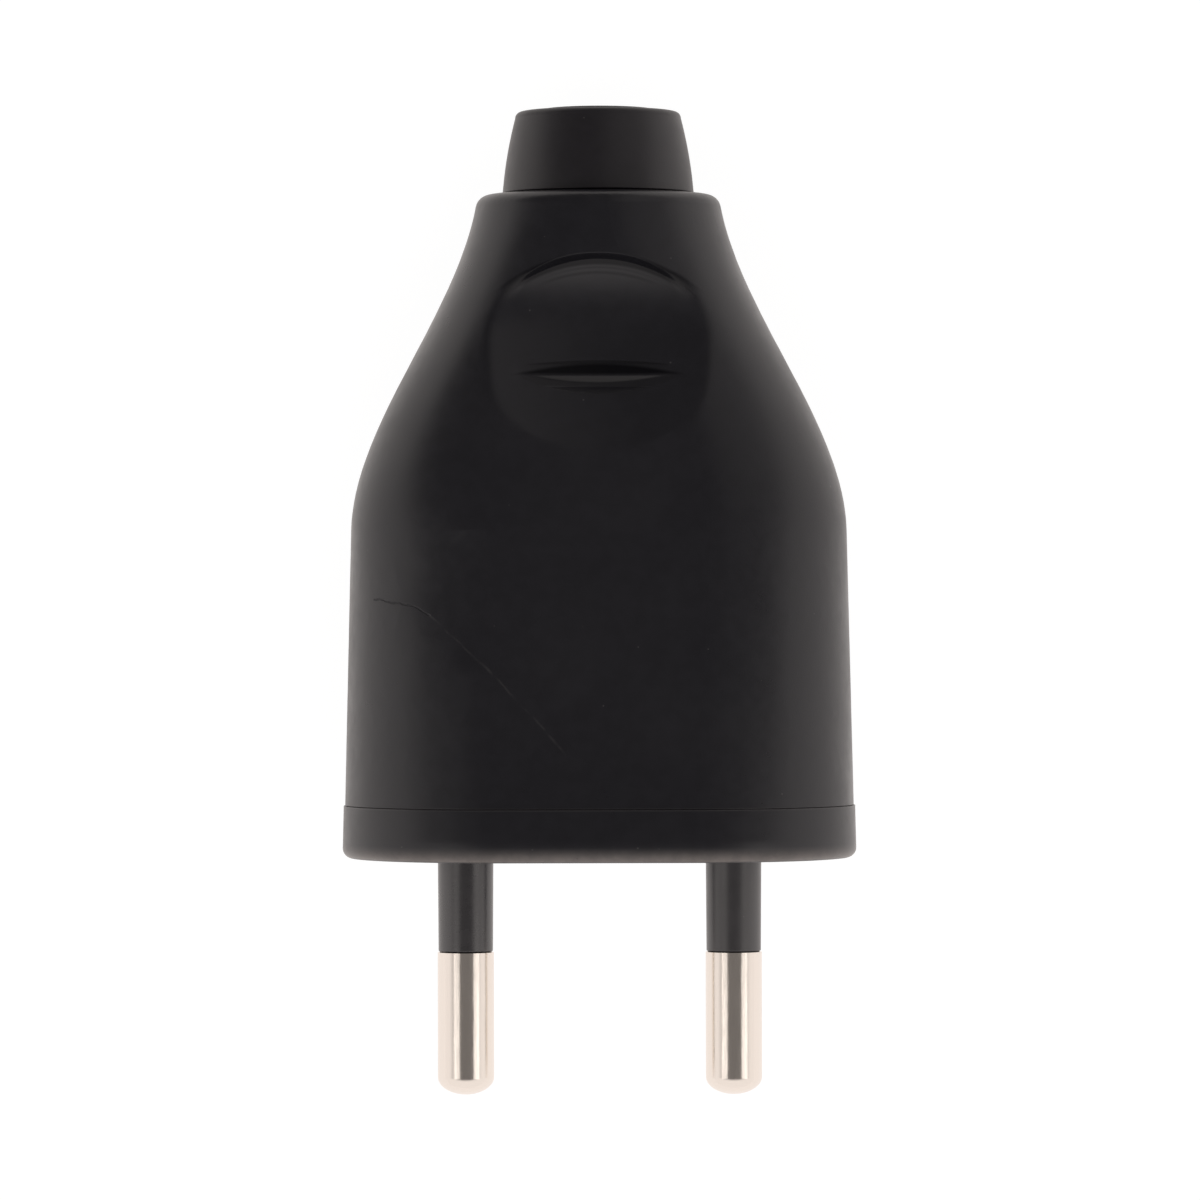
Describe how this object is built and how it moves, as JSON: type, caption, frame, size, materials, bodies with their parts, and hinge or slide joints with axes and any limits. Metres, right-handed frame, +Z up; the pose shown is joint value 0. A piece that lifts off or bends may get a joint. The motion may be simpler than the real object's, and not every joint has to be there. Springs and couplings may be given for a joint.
{
  "type": "two-pin plug",
  "caption": "Round-pin mains plug with half-sleeved pins, a waisted moulded hood with thumb recesses and a tapered cord outlet.",
  "frame": {"origin": "centre of the engagement face, midway between the two pins where they leave the plug", "axes": "+X across the pins to the right-hand pin, +Y towards the cord outlet, +Z up with the plug lying on its flat back; the plug's own axis leans 4.26 degrees down towards +Y, because the back tapers"},
  "size_m": [0.0364, 0.07, 0.0231],
  "materials": {
    "hood_plastic": "satin moulded black",
    "carrier_plastic": "satin moulded black",
    "bush_plastic": "satin moulded black",
    "grip_plastic": "plain moulded nylon",
    "sleeve_plastic": "smooth moulded black",
    "pin_metal": "bright nickel plate on brass",
    "screw_steel": "zinc plated"
  },
  "bodies": {
    "root": {"hood": "hood_plastic", "pin_carrier": "carrier_plastic", "cord_bush": "bush_plastic", "left_cord_grip_jaw": "grip_plastic", "right_cord_grip_jaw": "grip_plastic", "left_pin": "pin_metal", "right_pin": "pin_metal", "left_pin_sleeve": "sleeve_plastic", "right_pin_sleeve": "sleeve_plastic", "left_terminal_screw": "screw_steel", "right_terminal_screw": "screw_steel", "housing_screw": "screw_steel", "housing_nut": "screw_steel"}
  },
  "joints": []
}
